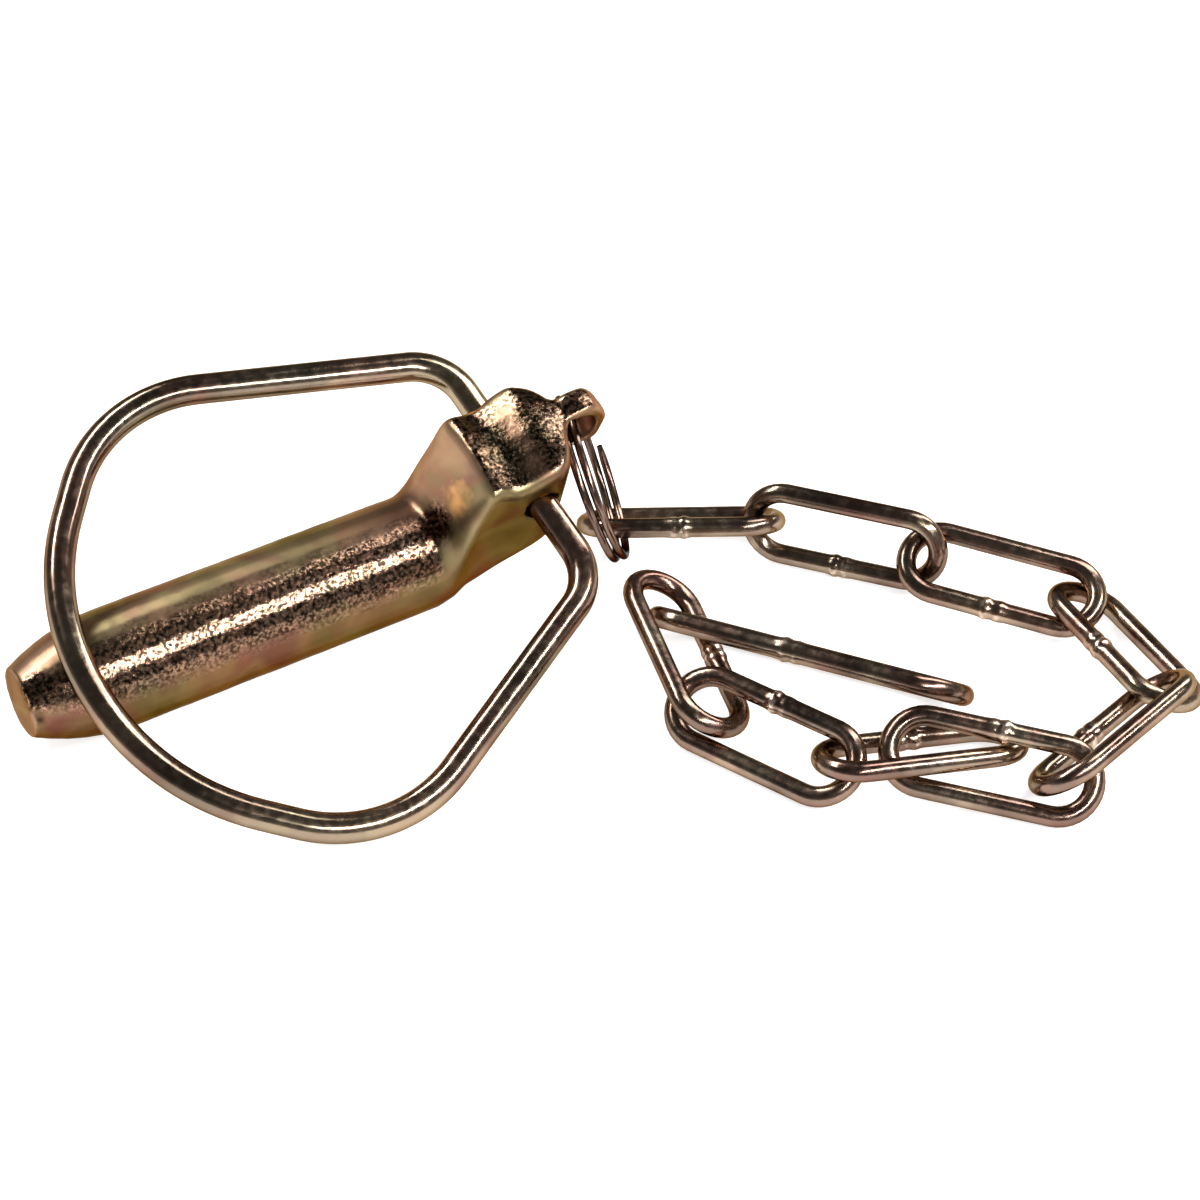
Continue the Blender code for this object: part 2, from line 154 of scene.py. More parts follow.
# The forging's colour patches: noise scale, values and their colours, detail, distortion, shift
OLIVE_PAINT = (
    95,
    (
        (0.30, (0.17, 0.115, 0.062)),
        (0.42, (0.25, 0.19, 0.10)),
        (0.54, (0.40, 0.31, 0.16)),
        (0.66, (0.29, 0.14, 0.11)),
    ),
    2,
    0.6,
    (0, 0, 0),
)
TINT_PAINT = (
    60,
    (
        (0.36, (0.18, 0.145, 0.07)),
        (0.47, (0.32, 0.25, 0.13)),
        (0.56, (0.42, 0.20, 0.14)),
        (0.66, (0.29, 0.125, 0.115)),
    ),
    2,
    1.0,
    (0.3, 0.1, 0.2),
)
BLOTCH_PAINT = (
    330,
    (
        (0.38, (0.20, 0.17, 0.11)),
        (0.50, (0.48, 0.35, 0.25)),
        (0.62, (0.95, 0.70, 0.58)),
    ),
    2,
    0.3,
    (0.5, 0.2, 0.7),
)
GRAIN_STOPS = (
    (0.42, (0.02, 0.014, 0.009)),
    (0.64, (0.52, 0.34, 0.24)),
)
TINT_SHARE = 0.5
BLOTCH_SHARE = 0.45

# Roughness of the satin and the pitted plating
SATIN_ROUGHNESS = 0.36
PITTED_ROUGHNESS = 0.2

# Grain of the forging: share on satin faces, gain on the head's top, strength and depth
SATIN_GRAIN = 0.06
TOP_GRAIN = 2.2
GRAIN_STRENGTH = 0.4
GRAIN_DEPTH = 0.00013

# Colour of the painted orange glint by the throat
PAINTED_GLINT_COLOR = (0.95, 0.52, 0.20)

# What darkens the plating, all painted shade: on the middle of the head's top, in the throat, on
# the lower side, and in the nick as its shadow
PAINTED_TOP_SHADE_COLOR = (0.52, 0.60, 0.55)
PAINTED_THROAT_SHADE_COLOR = (0.3, 0.22, 0.2)
PAINTED_LOWER_SHADE_COLOR = (0.48, 0.42, 0.32)
PAINTED_NICK_SHADOW_COLOR = (0.12, 0.09, 0.08)

# The wires' plating: dark, middle, light and tint colours, patch scale, roughness, grain depth
CLIP_PLATING = (
    (0.09, 0.068, 0.045),
    (0.23, 0.18, 0.13),
    (0.40, 0.315, 0.20),
    (0.33, 0.15, 0.12),
    70,
    0.13,
    0.00003,
)
RING_PLATING = (
    (0.05, 0.036, 0.028),
    (0.12, 0.09, 0.07),
    (0.26, 0.20, 0.15),
    (0.24, 0.12, 0.10),
    120,
    0.16,
    0.00002,
)
CHAIN_PLATING = (
    (0.075, 0.053, 0.04),
    (0.20, 0.145, 0.11),
    (0.36, 0.29, 0.20),
    (0.30, 0.145, 0.115),
    110,
    0.16,
    0.00005,
)

# Weld beads: the swell at which their colour starts and is full, its share, and the grain in it
BEAD_COLOR = (0.85, 0.66, 0.52)
BEAD_SWELL = (1.05, 1.13)
BEAD_SHARE = 0.8
BEAD_GRAIN = (0.42, 0.6)

# Weld collars: distance from the weld's middle, and width
COLLAR_PLACE = 0.0008
COLLAR_WIDTH = 0.0006

# Lamps: place, size and share of the key's power
LAMPS = {
    "key": ((-0.10, 0.32, 0.45), (0.5, 0.1), 1),
    "side": ((0.42, 0.05, 0.35), (0.1, 0.5), 0.5),
    "line": ((0.20, -0.40, 0.38), (0.7, 0.022), 1.5),
}
LAMP_AIM = (0.06, -0.02, 0)

# Studio walls: height above the horizon and grey level
WALL_STOPS = (
    (0.02, (1, 1, 1)),
    (0.08, (0.3, 0.3, 0.298)),
    (0.45, (0.08, 0.08, 0.079)),
)

# Floor: half its side, its gap below the object, its grey, and its glow close by and far away
FLOOR_HALF = 30
FLOOR_GAP = 0.0001
FLOOR_GREY = (0.6, 0.6, 0.6, 1)
FLOOR_GLOW = (0.72, 1)
FLOOR_GLOW_REACH = (0.3, 0.8)

# Camera, fitted to the photograph
CAMERA_PLACE = (-0.0899, -0.2887, 0.2723)
CAMERA_RIGHT = (0.8536, -0.5208, 0)
CAMERA_UP = (0.3417, 0.5600, 0.7547)
CAMERA_LENS = 94.55
SENSOR_WIDTH = 36


def rows_to_matrix(rows, place):
    """World matrix from the rows of a turn and a place."""
    return Matrix.Translation(place) @ Matrix(rows).to_4x4()


def settings():
    """The add-on's values."""
    return bpy.context.scene.lock_pin_look


class LockPinLook(bpy.types.PropertyGroup):
    """Values that shape the visible pieces"""

    forging_voxel: bpy.props.FloatProperty(
        name="Forging Grain",
        description="Size of the forging's mesh cells",
        default=0.0003,
        unit="LENGTH",
        precision=5,
    )
    pit_depth: bpy.props.FloatProperty(
        name="Pit Depth",
        description="Depth of the pits on the rough forged faces",
        default=0.00006,
        unit="LENGTH",
        precision=5,
    )
    lump_depth: bpy.props.FloatProperty(
        name="Lump Depth",
        description="Height of the broad waviness of the forging",
        default=0.00016,
        unit="LENGTH",
        precision=5,
    )
    weld_swell: bpy.props.FloatProperty(
        name="Weld Swell",
        description="How much a weld bead thickens the wire",
        default=0.2,
        min=0,
        max=0.3,
        subtype="FACTOR",
    )
    key_power: bpy.props.FloatProperty(
        name="Key Power",
        description="Power of the main soft light",
        default=3.2,
        unit="POWER",
    )


def new_tree(name, sockets):
    """Make a geometry tree with its input sockets."""
    tree = bpy.data.node_groups.new(name, "GeometryNodeTree")
    tree.interface.new_socket("Geometry", in_out="INPUT", socket_type="NodeSocketGeometry")
    for label, kind in sockets:
        tree.interface.new_socket(label, in_out="INPUT", socket_type=kind)
    tree.interface.new_socket("Geometry", in_out="OUTPUT", socket_type="NodeSocketGeometry")
    return tree


def add_node(tree, kind, inputs=None, **values):
    """Add a node, set its values, and link or set its inputs."""
    node = tree.nodes.new(kind)
    for key, value in values.items():
        setattr(node, key, value)
    for key, value in (inputs or {}).items():
        if isinstance(value, bpy.types.NodeSocket):
            tree.links.new(value, node.inputs[key])
        else:
            node.inputs[key].default_value = value
    return node


def finish_tree(tree, geometry, material):
    """End a tree in realized instances and its material."""
    real = add_node(tree, "GeometryNodeRealizeInstances", {"Geometry": geometry})
    dressed = add_node(
        tree, "GeometryNodeSetMaterial", {"Geometry": real.outputs[0], "Material": material}
    )
    out = tree.nodes.new("NodeGroupOutput")
    tree.links.new(dressed.outputs[0], out.inputs["Geometry"])


def wire_tree():
    """Sweep a round wire along a line of edges, swelling where the line says so."""
    tree = new_tree(
        "Wire Sweep",
        (
            ("Wire Radius", "NodeSocketFloat"),
            ("Sides", "NodeSocketInt"),
            ("Material", "NodeSocketMaterial"),
        ),
    )
    source = tree.nodes.new("NodeGroupInput")
    line = add_node(tree, "GeometryNodeMeshToCurve", {"Mesh": source.outputs["Geometry"]})
    swell = add_node(tree, "GeometryNodeInputNamedAttribute", {"Name": "swell"}, data_type="FLOAT")
    profile = add_node(
        tree,
        "GeometryNodeCurvePrimitiveCircle",
        {"Resolution": source.outputs["Sides"], "Radius": source.outputs["Wire Radius"]},
    )
    body = add_node(
        tree,
        "GeometryNodeCurveToMesh",
        {
            "Curve": line.outputs["Curve"],
            "Profile Curve": profile.outputs["Curve"],
            "Fill Caps": True,
            "Scale": swell.outputs["Attribute"],
        },
    )
    smooth = add_node(tree, "GeometryNodeSetShadeSmooth", {"Geometry": body.outputs["Mesh"]})
    finish_tree(tree, smooth.outputs["Geometry"], source.outputs["Material"])
    return tree


def calculate(tree, operation, *values):
    """Result of a math node on its values."""
    return add_node(
        tree, "ShaderNodeMath", dict(enumerate(values)), operation=operation
    ).outputs[0]


def noise(tree, place, scale, detail, roughness=0.5, distortion=0.0):
    """Value of a noise texture."""
    inputs = {
        "Vector": place,
        "Scale": scale,
        "Detail": detail,
        "Roughness": roughness,
        "Distortion": distortion,
    }
    return add_node(tree, "ShaderNodeTexNoise", inputs).outputs[0]


def color_ramp(tree, value, stops):
    """Turn a value into a colour."""
    node = add_node(tree, "ShaderNodeValToRGB", {"Fac": value})
    elements = node.color_ramp.elements
    elements.remove(elements[1])
    first = elements[0]
    first.position, first.color = stops[0][0], (*stops[0][1], 1)
    for at, color in stops[1:]:
        elements.new(at).color = (*color, 1)
    return node.outputs["Color"]


def paint(tree, place, scale, stops, detail, distortion, shift):
    """Colour patches from noise through a ramp."""
    moved = add_node(tree, "ShaderNodeVectorMath", {0: place, 1: shift}, operation="ADD")
    value = noise(tree, moved.outputs["Vector"], scale, detail, distortion=distortion)
    return color_ramp(tree, value, stops)


def value_ramp(tree, source, low, high, at_low, at_high):
    """Map one value to another, held at both ends."""
    node = add_node(
        tree,
        "ShaderNodeMapRange",
        {
            "Value": source,
            "From Min": low,
            "From Max": high,
            "To Min": at_low,
            "To Max": at_high,
        },
    )
    return node.outputs["Result"]


def turned_toward(tree, normal, ragged, facing):
    """How far a face turns toward a direction, with a ragged edge."""
    direction, low, high = facing
    square = add_node(
        tree, "ShaderNodeVectorMath", {0: normal, 1: direction}, operation="DOT_PRODUCT"
    )
    uneven = calculate(tree, "MULTIPLY_ADD", ragged, FACE_RAGGED, square.outputs["Value"])
    shift = FACE_RAGGED / 2
    return value_ramp(tree, uneven, low + shift, high + shift, 0, 1)


def mark_mask(tree, place, ragged, mark):
    """One inside a mark, falling to zero with a ragged edge."""
    centre, inner, outer = mark
    distance = add_node(tree, "ShaderNodeVectorMath", {0: place, 1: centre}, operation="DISTANCE")
    width = (outer - inner) * MARK_RAGGED
    uneven = calculate(tree, "MULTIPLY_ADD", ragged, width, distance.outputs["Value"])
    return value_ramp(tree, uneven, inner + width / 2, outer + width / 2, 1, 0)


def keep_value(tree, geometry, name, value):
    """Store a value on a mesh's points."""
    inputs = {"Geometry": geometry, "Name": name, "Value": value}
    return add_node(
        tree, "GeometryNodeStoreNamedAttribute", inputs, data_type="FLOAT", domain="POINT"
    ).outputs["Geometry"]


def forging_tree():
    """Pit the rough faces of a forging and give the rest a slow waviness."""
    tree = new_tree(
        "Forged Skin",
        (
            ("Pit Depth", "NodeSocketFloat"),
            ("Lump Depth", "NodeSocketFloat"),
            ("Material", "NodeSocketMaterial"),
        ),
    )
    source = tree.nodes.new("NodeGroupInput")
    place = add_node(tree, "GeometryNodeInputPosition").outputs["Position"]
    normal = add_node(tree, "GeometryNodeInputNormal").outputs["Normal"]
    along = add_node(tree, "ShaderNodeSeparateXYZ", {"Vector": place}).outputs["X"]
    ragged = noise(tree, place, *RAGGED_NOISE)
    band = turned_toward(tree, normal, ragged, BAND_FACING)
    band = calculate(tree, "MULTIPLY", band, value_ramp(tree, along, *BAND_START, 0, 1))
    band = calculate(tree, "MULTIPLY", band, value_ramp(tree, along, *BAND_END, 1, 0))
    head = turned_toward(tree, normal, ragged, HEAD_FACING)
    head = calculate(tree, "MULTIPLY", head, value_ramp(tree, along, *HEAD_START, 0, 1))
    rough = calculate(tree, "MAXIMUM", band, head)
    for mark in (TIP_ROUGH, THROAT_ROUGH):
        rough = calculate(tree, "MAXIMUM", rough, mark_mask(tree, place, ragged, mark))
    pits = calculate(tree, "SUBTRACT", noise(tree, place, *PIT_NOISE), NOISE_LEVEL)
    pits = calculate(tree, "MULTIPLY", pits, source.outputs["Pit Depth"])
    pits = calculate(tree, "MULTIPLY", pits, rough)
    lumps = calculate(tree, "SUBTRACT", noise(tree, place, *LUMP_NOISE), NOISE_LEVEL)
    lumps = calculate(tree, "MULTIPLY", lumps, source.outputs["Lump Depth"])
    nick = mark_mask(tree, place, ragged, NICK_DENT)
    total = calculate(tree, "ADD", pits, lumps)
    total = calculate(tree, "MULTIPLY_ADD", nick, -NICK_DEPTH, total)
    push = add_node(
        tree, "ShaderNodeVectorMath", {0: normal, "Scale": total}, operation="SCALE"
    )
    # How far each face turns to the lower side, stored to place painted shade there
    lower = turned_toward(tree, normal, ragged, LOWER_FACING)
    marked = keep_value(tree, source.outputs["Geometry"], "rough", rough)
    marked = keep_value(tree, marked, "lower", lower)
    moved = add_node(
        tree, "GeometryNodeSetPosition", {"Geometry": marked, "Offset": push.outputs["Vector"]}
    )
    smooth = add_node(tree, "GeometryNodeSetShadeSmooth", {"Geometry": moved.outputs["Geometry"]})
    finish_tree(tree, smooth.outputs["Geometry"], source.outputs["Material"])
    return tree


def link_object(name, mesh):
    """Put a mesh in the scene."""
    thing = bpy.data.objects.new(name, mesh)
    bpy.context.scene.collection.objects.link(thing)
    return thing


def run_tree(thing, tree, values):
    """Give an object a geometry tree with its inputs, and turn the result into a plain mesh."""
    modifier = thing.modifiers.new("Look", "NODES")
    modifier.node_group = tree
    items = tree.interface.items_tree
    sockets = {item.name: item.identifier for item in items if item.in_out == "INPUT"}
    for label, value in values.items():
        modifier[sockets[label]] = value
    bpy.context.view_layer.update()
    depsgraph = bpy.context.evaluated_depsgraph_get()
    mesh = bpy.data.meshes.new_from_object(thing.evaluated_get(depsgraph))
    name = thing.name
    if not mesh.polygons:
        raise RuntimeError(name + " came out empty")
    bpy.data.objects.remove(thing, do_unlink=True)
    mesh.name = name
    return link_object(name, mesh)


def fillet(corners, radii):
    """Round the corners of an open path with arcs."""
    points = [Vector(corners[0])]
    for i, radius in enumerate(radii, 1):
        here = Vector(corners[i])
        back = (Vector(corners[i - 1]) - here).normalized()
        ahead = (Vector(corners[i + 1]) - here).normalized()
        half = back.angle(ahead) / 2
        setback = radius / math.tan(half)
        centre = here + (back + ahead).normalized() * (radius / math.sin(half))
        start = here + back * setback - centre
        end = here + ahead * setback - centre
        sweep = start.angle(end)
        steps = max(6, round(math.degrees(sweep) / ARC_STEP))
        for step in range(steps + 1):
            t = step / steps
            arm = start * math.sin((1 - t) * sweep) + end * math.sin(t * sweep)
            points.append(centre + arm / math.sin(sweep))
    points.append(Vector(corners[-1]))
    return points


def line_object(name, points, cyclic, swell=None):
    """Make a line of edges with a swell factor at each point."""
    count = len(points)
    edges = [(i, i + 1) for i in range(count - 1)]
    if cyclic:
        edges.append((count - 1, 0))
    mesh = bpy.data.meshes.new(name + "_line")
    mesh.from_pydata(points, edges, [])
    factors = mesh.attributes.new("swell", "FLOAT", "POINT")
    factors.data.foreach_set("value", swell or [1.0] * count)
    return link_object(name + "_line", mesh)


def place_matrix(x, y, z, heading, climb, lean):
    """World matrix of a chain piece from its near end and its turn."""
    turn = (
        Matrix.Rotation(math.radians(heading), 4, "Z")
        @ Matrix.Rotation(math.radians(-climb), 4, "Y")
        @ Matrix.Rotation(math.radians(lean), 4, "X")
    )
    return Matrix.Translation((x / 1000, y / 1000, z / 1000)) @ turn


def bend_points(centre, radius, start, sweep):
    """Points of a link's bend."""
    points = []
    for step in range(BEND_STEPS + 1):
        angle = start + sweep * step / BEND_STEPS
        points.append(Vector((centre + radius * math.cos(angle), radius * math.sin(angle), 0)))
    return points


def side_points(start, end, steps):
    """Points between the ends of a link's side."""
    return [start.lerp(end, i / steps) for i in range(1, steps)]


def link_points(length, near_width, far_width, wire):
    """Centre line of a link, its near end at the origin, and each point's distance to the weld."""
    near, far = (near_width - wire) / 2, (far_width - wire) / 2
    run = length - wire - near - far
    lean = math.asin((far - near) / run)
    near_bend = bend_points(near, near, math.pi / 2 + lean, math.pi - 2 * lean)
    far_bend = bend_points(near + run, far, -math.pi / 2 - lean, math.pi + 2 * lean)
    weld = near_bend[-1].lerp(far_bend[0], 0.5)
    points = near_bend + side_points(near_bend[-1], far_bend[0], WELD_SIDE_STEPS)
    points += far_bend + side_points(far_bend[-1], near_bend[0], PLAIN_SIDE_STEPS)
    return points, [(p - weld).length for p in points]


def weld_factors(distances, amount, seed):
    """Swell of a butt weld: two upset collars with a shallow seam between them."""
    factors = []
    for i, distance in enumerate(distances):
        collar = math.exp(-((distance - COLLAR_PLACE) / COLLAR_WIDTH) ** 2)
        uneven = 0.7 + 0.3 * math.sin(i * 0.8 + seed * 1.7)
        factors.append(1 + amount * collar * uneven)
    return factors


def mix_color(tree, factor, first, second, blend="MIX"):
    """Blend two colours."""
    node = tree.nodes.new("ShaderNodeMix")
    node.data_type = "RGBA"
    node.blend_type = blend
    for key, value in (("Factor_Float", factor), ("A_Color", first), ("B_Color", second)):
        socket = next(s for s in node.inputs if s.identifier == key)
        if isinstance(value, bpy.types.NodeSocket):
            tree.links.new(value, socket)
        else:
            socket.default_value = value if key == "Factor_Float" else (*value, 1)
    return next(s for s in node.outputs if s.identifier == "Result_Color")


def new_material(name):
    """Make a metal material with its tree, shader and object coordinates."""
    material = bpy.data.materials.new(name)
    material.use_nodes = True
    tree = material.node_tree
    shader = tree.nodes["Principled BSDF"]
    shader.inputs["Metallic"].default_value = 1.0
    shader.inputs["Specular Tint"].default_value = EDGE_TINT
    coordinates = add_node(tree, "ShaderNodeTexCoord").outputs["Object"]
    return material, tree, shader, coordinates


def bump(tree, shader, height, strength, distance):
    """Let a height bend the shader's normal."""
    inputs = {"Height": height, "Strength": strength, "Distance": distance}
    node = add_node(tree, "ShaderNodeBump", inputs)
    tree.links.new(node.outputs["Normal"], shader.inputs["Normal"])


def stored(tree, name):
    """A value stored on the mesh."""
    return add_node(tree, "ShaderNodeAttribute", attribute_name=name).outputs["Fac"]


def forging_material():
    """Yellow plated forging: satin flanks with tinted patches and a dark pitted band."""
    material, tree, shader, place = new_material("plated_forging")
    rough = stored(tree, "rough")
    grain = noise(tree, place, *GRAIN_NOISE)
    # Ragged edges for the painted glint, shade and shadow
    ragged = noise(tree, place, *PAINTED_MARK_NOISE)

    olive, tint = paint(tree, place, *OLIVE_PAINT), paint(tree, place, *TINT_PAINT)
    satin = mix_color(tree, TINT_SHARE, olive, tint)
    # Painted highlight: the orange glint by the throat, mixed into the satin
    painted_glint = mark_mask(tree, place, ragged, PAINTED_GLINT_SPOT)
    satin = mix_color(tree, painted_glint, satin, PAINTED_GLINT_COLOR)
    # Painted shade darkens the satin on the lower side
    satin = mix_color(tree, stored(tree, "lower"), satin, PAINTED_LOWER_SHADE_COLOR, "MULTIPLY")

    pitted, blotch = color_ramp(tree, grain, GRAIN_STOPS), paint(tree, place, *BLOTCH_PAINT)
    pitted = mix_color(tree, BLOTCH_SHARE, pitted, blotch, "MULTIPLY")
    # Painted shade, with a slight green tint, darkens the middle of the head's top; the same spot
    # strengthens the grain there
    top = mark_mask(tree, place, ragged, PAINTED_TOP_SHADE_SPOT)
    pitted = mix_color(tree, top, pitted, PAINTED_TOP_SHADE_COLOR, "MULTIPLY")
    # Painted shade darkens the pitted plating in the throat's hollow
    throat = mark_mask(tree, place, ragged, PAINTED_THROAT_SHADE_SPOT)
    pitted = mix_color(tree, throat, pitted, PAINTED_THROAT_SHADE_COLOR, "MULTIPLY")

    color = mix_color(tree, rough, satin, pitted)
    # Painted shadow darkens the nick's dent
    nick = mark_mask(tree, place, ragged, PAINTED_NICK_SHADOW_SPOT)
    color = mix_color(tree, nick, color, PAINTED_NICK_SHADOW_COLOR, "MULTIPLY")
    tree.links.new(color, shader.inputs["Base Color"])
    polish = value_ramp(tree, rough, 0, 1, SATIN_ROUGHNESS, PITTED_ROUGHNESS)
    tree.links.new(polish, shader.inputs["Roughness"])
    height = calculate(tree, "MULTIPLY", grain, value_ramp(tree, rough, 0, 1, SATIN_GRAIN, 1))
    height = calculate(tree, "MULTIPLY", height, value_ramp(tree, top, 0, 1, 1, TOP_GRAIN))
    bump(tree, shader, height, GRAIN_STRENGTH, GRAIN_DEPTH)
    return material


def wire_material(name, dark, middle, light, tint, scale, roughness, grain_depth):
    """Plated drawn wire: slow colour changes, a fine grain and bright weld beads."""
    material, tree, shader, place = new_material(name)
    grain = noise(tree, place, *WIRE_NOISE)
    stops = ((0.34, dark), (0.5, middle), (0.64, light))
    base = paint(tree, place, scale, stops, 3, 0.5, (0, 0, 0))
    stops = ((0.4, middle), (0.56, tint), (0.66, middle))
    patch = paint(tree, place, scale * 0.6, stops, 2, 0.8, (0.2, 0.4, 0.1))
    color = mix_color(tree, 0.4, base, patch)
    bead = value_ramp(tree, stored(tree, "swell"), *BEAD_SWELL, 0, BEAD_SHARE)
    bead = calculate(tree, "MULTIPLY", bead, value_ramp(tree, grain, *BEAD_GRAIN, 0, 1))
    color = mix_color(tree, bead, color, BEAD_COLOR)
    tree.links.new(color, shader.inputs["Base Color"])
    polish = value_ramp(tree, grain, 0.35, 0.7, roughness, roughness + 0.12)
    tree.links.new(polish, shader.inputs["Roughness"])
    bump(tree, shader, grain, 0.5, grain_depth)
    return material


def adopt(piece, node):
    """Let a piece stand for the solid of the same name and ride on its body."""
    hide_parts(node)
    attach(piece, node)


class OBJECT_OT_lock_pin_forging(bpy.types.Operator):
    """Build the pin's forged skin"""

    bl_idname = "object.lock_pin_forging"
    bl_label = "Forging"

    def execute(self, context):
        """Remesh the solid finely, round its edges and pit its rough faces."""
        look = settings()
        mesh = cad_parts["lock_pin"].data.copy()
        shell = link_object("forging_shell", mesh)
        remesh = shell.modifiers.new("Even", "REMESH")
        remesh.mode = "VOXEL"
        remesh.voxel_size = look.forging_voxel
        soften = shell.modifiers.new("Soften", "SMOOTH")
        soften.factor = 0.5
        soften.iterations = 4
        bpy.context.view_layer.update()
        depsgraph = bpy.context.evaluated_depsgraph_get()
        even = bpy.data.meshes.new_from_object(shell.evaluated_get(depsgraph))
        bpy.data.objects.remove(shell, do_unlink=True)
        if not even.polygons:
            raise RuntimeError("the forging's skin came out empty")
        piece = run_tree(
            link_object("forging", even),
            forging_tree(),
            {
                "Pit Depth": look.pit_depth,
                "Lump Depth": look.lump_depth,
                "Material": forging_material(),
            },
        )
        adopt(piece, "lock_pin")
        return {"FINISHED"}


class OBJECT_OT_lock_pin_clip(bpy.types.Operator):
    """Build the wire clip"""

    bl_idname = "object.lock_pin_clip"
    bl_label = "Clip"

    def execute(self, context):
        """Sweep the clip's wire from foot to foot round the nose."""
        half = list(CLIP_CORNERS)
        other = [(x, -y) for x, y in reversed(half)]
        corners = [(x, y, 0) for x, y in half + other]
        points = fillet(corners, CLIP_RADII + tuple(reversed(CLIP_RADII)))
        world = rows_to_matrix(CLIP_AXES, CLIP_ORIGIN)
        material = wire_material("plated_spring_wire", *CLIP_PLATING)
        line = line_object("clip_wire", [world @ p for p in points], False)
        values = {"Wire Radius": CLIP_WIRE / 2, "Sides": CLIP_SIDES, "Material": material}
        piece = run_tree(line, wire_tree(), values)
        piece.name = "clip_wire"
        adopt(piece, "clip")
        return {"FINISHED"}


class OBJECT_OT_lock_pin_ring(bpy.types.Operator):
    """Build the split ring"""

    bl_idname = "object.lock_pin_ring"
    bl_label = "Split Ring"

    def execute(self, context):
        """Wind two turns of wire side by side, with tapered ends."""
        world = rows_to_matrix(RING_AXES, RING_ORIGIN)
        points, swell = [], []
        last = RING_TURNS * RING_STEPS
        for i in range(last + 1):
            angle = RING_START + math.tau * i / RING_STEPS
            rise = RING_PITCH * (i / RING_STEPS - RING_TURNS / 2)
            x = RING_RADIUS + RING_RADIUS * math.cos(angle)
            points.append(world @ Vector((x, RING_RADIUS * math.sin(angle), rise)))
            swell.append(min(1, 0.7 + 0.1 * min(i, last - i)))
        material = wire_material("plated_ring_wire", *RING_PLATING)
        shader = material.node_tree.nodes["Principled BSDF"]
        shader.inputs["Specular Tint"].default_value = RING_EDGE_TINT
        line = line_object("ring_wire", points, False, swell)
        values = {"Wire Radius": RING_WIRE / 2, "Sides": RING_SIDES, "Material": material}
        piece = run_tree(line, wire_tree(), values)
        piece.name = "ring_wire"
        adopt(piece, "split_ring")
        return {"FINISHED"}


class OBJECT_OT_lock_pin_chain(bpy.types.Operator):
    """Build the chain links and the end link"""

    bl_idname = "object.lock_pin_chain"
    bl_label = "Chain"

    def execute(self, context):
        """Sweep each link as a closed wire with a weld in one side."""
        tree = wire_tree()
        material = wire_material("plated_chain_wire", *CHAIN_PLATING)
        shape = link_points(LINK_LENGTH, LINK_WIDTH, LINK_WIDTH, LINK_WIRE)
        for number, place in enumerate(LINK_PLACES, 1):
            self.add_link(f"chain_link_{number}", shape, place, LINK_WIRE, tree, material, number)
        shape = link_points(END_LENGTH, *END_WIDTHS, END_WIRE)
        number = len(LINK_PLACES) + 1
        self.add_link("end_link", shape, END_PLACE, END_WIRE, tree, material, number)
        return {"FINISHED"}

    def add_link(self, node, shape, place, wire, tree, material, seed):
        """Make one link and let it ride on its body."""
        points, distances = shape
        world = place_matrix(*place)
        factors = weld_factors(distances, settings().weld_swell, seed)
        line = line_object(node + "_wire", [world @ p for p in points], True, factors)
        values = {"Wire Radius": wire / 2, "Sides": LINK_SIDES, "Material": material}
        piece = run_tree(line, tree, values)
        piece.name = node + "_wire"
        adopt(piece, node)


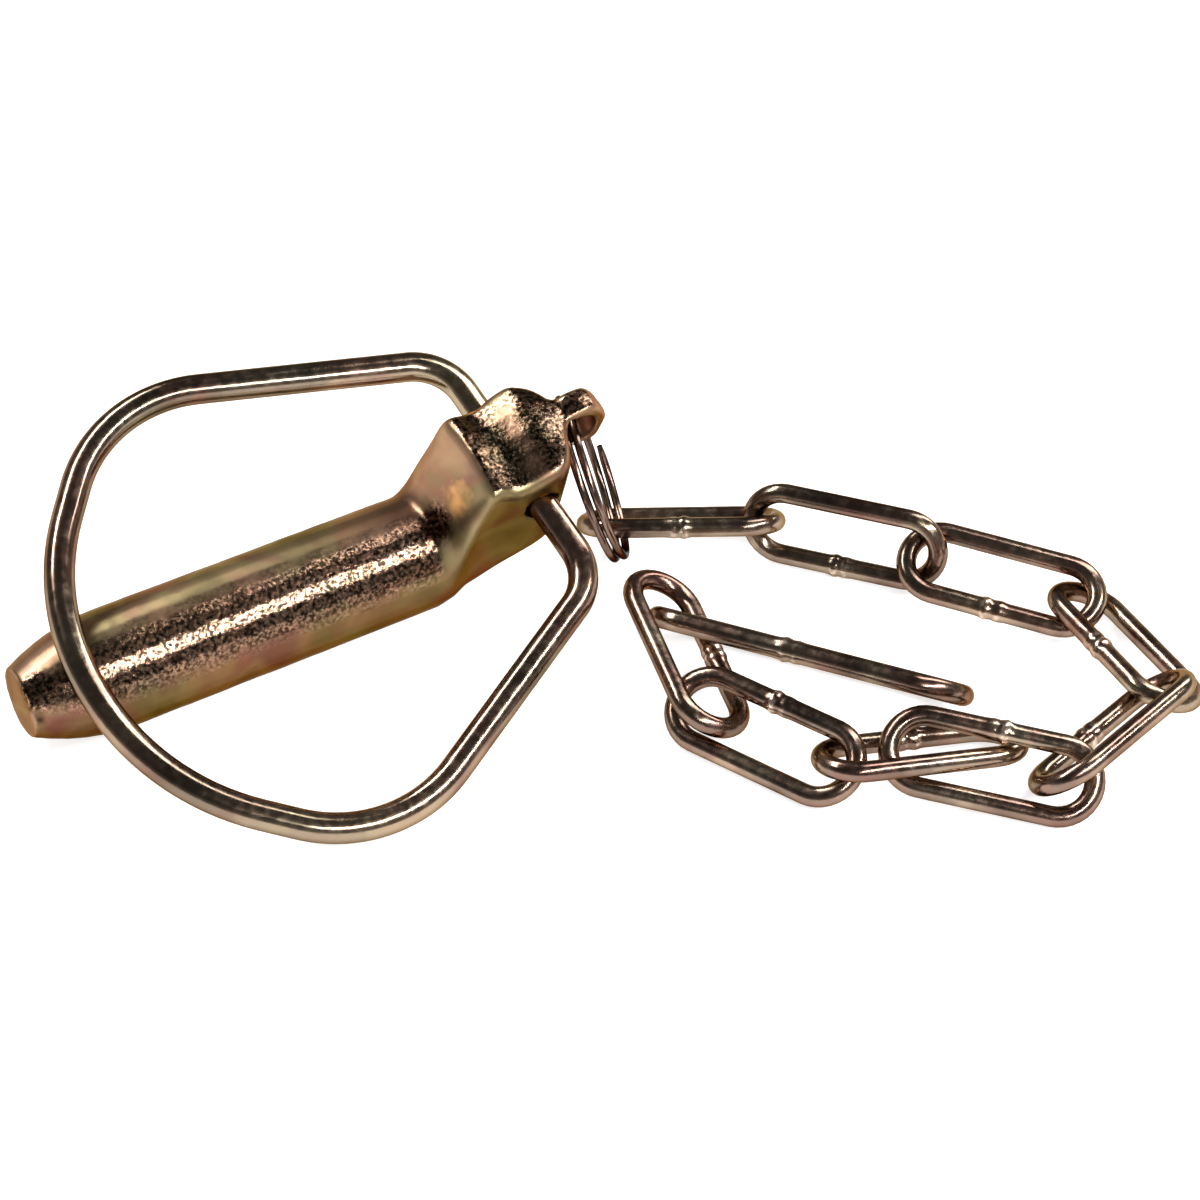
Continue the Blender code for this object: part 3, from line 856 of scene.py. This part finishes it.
class OBJECT_OT_lock_pin_stage(bpy.types.Operator):
    """Build the floor, the lights and the camera"""

    bl_idname = "object.lock_pin_stage"
    bl_label = "Stage"

    def execute(self, context):
        """Set the plain studio and the camera."""
        scene = context.scene
        self.add_floor()
        for name, (place, size, share) in LAMPS.items():
            self.add_lamp(name, place, size, settings().key_power * share)
        world = bpy.data.worlds.new("studio")
        world.use_nodes = True
        tree = world.node_tree
        around = add_node(tree, "ShaderNodeTexCoord").outputs["Generated"]
        height = add_node(tree, "ShaderNodeSeparateXYZ", {"Vector": around}).outputs["Z"]
        walls = color_ramp(tree, height, WALL_STOPS)
        tree.links.new(walls, tree.nodes["Background"].inputs["Color"])
        scene.world = world
        scene.view_settings.view_transform = "Standard"
        self.add_camera(scene)
        return {"FINISHED"}

    def add_floor(self):
        """Lay a pale floor under the object that shows white but keeps the shadow."""
        mesh = bpy.data.meshes.new("floor")
        shape = bmesh.new()
        bmesh.ops.create_grid(shape, x_segments=1, y_segments=1, size=FLOOR_HALF)
        shape.to_mesh(mesh)
        shape.free()
        floor = link_object("floor", mesh)
        floor.location.z = GROUND - FLOOR_GAP
        material = bpy.data.materials.new("floor")
        material.use_nodes = True
        tree = material.node_tree
        tree.nodes.clear()
        out = tree.nodes.new("ShaderNodeOutputMaterial")
        paper = add_node(tree, "ShaderNodeBsdfDiffuse", {"Color": FLOOR_GREY})
        place = add_node(tree, "ShaderNodeTexCoord").outputs["Object"]
        away = add_node(tree, "ShaderNodeVectorMath", {0: place}, operation="LENGTH")
        strength = value_ramp(tree, away.outputs["Value"], *FLOOR_GLOW_REACH, *FLOOR_GLOW)
        glow = add_node(tree, "ShaderNodeEmission", {"Color": (1, 1, 1, 1), "Strength": strength})
        shown = add_node(tree, "ShaderNodeAddShader", {0: paper.outputs[0], 1: glow.outputs[0]})
        path = tree.nodes.new("ShaderNodeLightPath")
        seen = path.outputs["Is Camera Ray"]
        for kind in ("Is Glossy Ray", "Is Transmission Ray"):
            seen = calculate(tree, "MAXIMUM", seen, path.outputs[kind])
        mix = add_node(
            tree, "ShaderNodeMixShader", {0: seen, 1: paper.outputs[0], 2: shown.outputs[0]}
        )
        tree.links.new(mix.outputs[0], out.inputs["Surface"])
        mesh.materials.append(material)

    def add_lamp(self, name, place, size, power):
        """Add a soft rectangular lamp that faces the object's middle."""
        data = bpy.data.lights.new(name, "AREA")
        data.shape = "RECTANGLE"
        data.size, data.size_y = size
        data.energy = power
        lamp = bpy.data.objects.new(name, data)
        lamp.location = place
        aim = Vector(LAMP_AIM) - Vector(place)
        lamp.rotation_euler = aim.to_track_quat("-Z", "Y").to_euler()
        bpy.context.scene.collection.objects.link(lamp)

    def add_camera(self, scene):
        """Set the camera that was fitted to the photograph."""
        data = bpy.data.cameras.new("camera")
        data.lens = CAMERA_LENS
        data.sensor_width = SENSOR_WIDTH
        data.dof.use_dof = False
        camera = bpy.data.objects.new("camera", data)
        right, up = Vector(CAMERA_RIGHT).normalized(), Vector(CAMERA_UP).normalized()
        turn = Matrix((right, up, right.cross(up))).transposed()
        camera.matrix_world = Matrix.Translation(CAMERA_PLACE) @ turn.to_4x4()
        scene.collection.objects.link(camera)
        scene.camera = camera


class VIEW3D_PT_lock_pin(bpy.types.Panel):
    """Buttons that build the lock pin's pieces"""

    bl_idname = "VIEW3D_PT_lock_pin"
    bl_label = "Lock Pin"
    bl_space_type = "VIEW_3D"
    bl_region_type = "UI"
    bl_category = "Lock Pin"

    def draw(self, context):
        """Draw the values and one button for each operator."""
        look = context.scene.lock_pin_look
        for name in ("forging_voxel", "pit_depth", "lump_depth", "weld_swell", "key_power"):
            self.layout.prop(look, name)
        for operator in OPERATORS:
            self.layout.operator(operator.bl_idname)


OPERATORS = (
    OBJECT_OT_lock_pin_forging,
    OBJECT_OT_lock_pin_clip,
    OBJECT_OT_lock_pin_ring,
    OBJECT_OT_lock_pin_chain,
    OBJECT_OT_lock_pin_stage,
)
CLASSES = (LockPinLook, *OPERATORS, VIEW3D_PT_lock_pin)


def register():
    """Register the add-on's classes and values."""
    for item in CLASSES:
        bpy.utils.register_class(item)
    bpy.types.Scene.lock_pin_look = bpy.props.PointerProperty(type=LockPinLook)


def unregister():
    """Remove the add-on's classes and values."""
    del bpy.types.Scene.lock_pin_look
    for item in reversed(CLASSES):
        bpy.utils.unregister_class(item)


def main():
    """Build every piece."""
    register()
    bpy.ops.object.lock_pin_forging()
    bpy.ops.object.lock_pin_clip()
    bpy.ops.object.lock_pin_ring()
    bpy.ops.object.lock_pin_chain()
    bpy.ops.object.lock_pin_stage()


if __name__ == "__main__":
    main()
